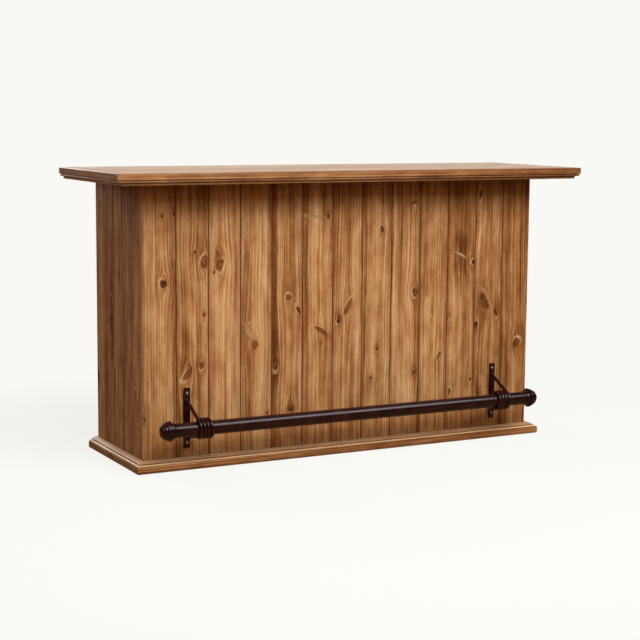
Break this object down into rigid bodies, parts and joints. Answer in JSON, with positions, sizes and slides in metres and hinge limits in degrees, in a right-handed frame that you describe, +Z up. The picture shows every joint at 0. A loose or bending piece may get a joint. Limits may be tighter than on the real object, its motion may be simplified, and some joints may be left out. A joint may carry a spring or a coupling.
{
  "type": "bar counter",
  "caption": "Boarded pine bar counter with a moulded overhanging top, moulded plinth, open shelves behind and an iron foot rail on wound rod brackets.",
  "frame": {"origin": "on the floor, under the middle of the top", "axes": "+Z up, +X along the counter to the right as the customer sees it, -Y towards the customer"},
  "size_m": [1.92, 0.618, 1.067],
  "materials": {
    "stained_pine": "rubbed brown stain under satin varnish",
    "inside_pine": "thin stain, matt",
    "bronze_paint": "dark oxblood paint, semi-gloss",
    "zinc_steel": "zinc plated"
  },
  "bodies": {
    "root": {"front_board_01": "stained_pine", "front_board_02": "stained_pine", "front_board_03": "stained_pine", "front_board_04": "stained_pine", "front_board_05": "stained_pine", "front_board_06": "stained_pine", "front_board_07": "stained_pine", "front_board_08": "stained_pine", "front_board_09": "stained_pine", "front_board_10": "stained_pine", "front_board_11": "stained_pine", "front_board_12": "stained_pine", "front_board_13": "stained_pine", "left_side_board_1": "stained_pine", "left_side_board_2": "stained_pine", "left_side_board_3": "stained_pine", "left_side_board_4": "stained_pine", "left_side_board_5": "stained_pine", "right_side_board_1": "stained_pine", "right_side_board_2": "stained_pine", "right_side_board_3": "stained_pine", "right_side_board_4": "stained_pine", "right_side_board_5": "stained_pine", "top_edge_front": "stained_pine", "top_edge_left": "stained_pine", "top_edge_right": "stained_pine", "top_board_1": "stained_pine", "top_board_2": "stained_pine", "top_board_3": "stained_pine", "plinth_front": "stained_pine", "plinth_left": "stained_pine", "plinth_right": "stained_pine", "front_top_rail": "inside_pine", "front_shelf_rail": "inside_pine", "front_bottom_rail": "inside_pine", "left_top_cleat": "inside_pine", "left_shelf_cleat": "inside_pine", "left_bottom_cleat": "inside_pine", "right_top_cleat": "inside_pine", "right_shelf_cleat": "inside_pine", "right_bottom_cleat": "inside_pine", "back_left_stile": "inside_pine", "back_right_stile": "inside_pine", "back_top_rail": "inside_pine", "back_bottom_rail": "inside_pine", "bottom_deck": "inside_pine", "centre_divider": "inside_pine", "left_shelf": "inside_pine", "right_shelf": "inside_pine", "foot_rail_tube": "bronze_paint", "left_rail_finial": "bronze_paint", "right_rail_finial": "bronze_paint", "left_bracket_plate": "bronze_paint", "right_bracket_plate": "bronze_paint", "left_bracket_rod": "bronze_paint", "right_bracket_rod": "bronze_paint", "left_upper_screw": "zinc_steel", "left_lower_screw": "zinc_steel", "right_upper_screw": "zinc_steel", "right_lower_screw": "zinc_steel"}
  },
  "joints": []
}
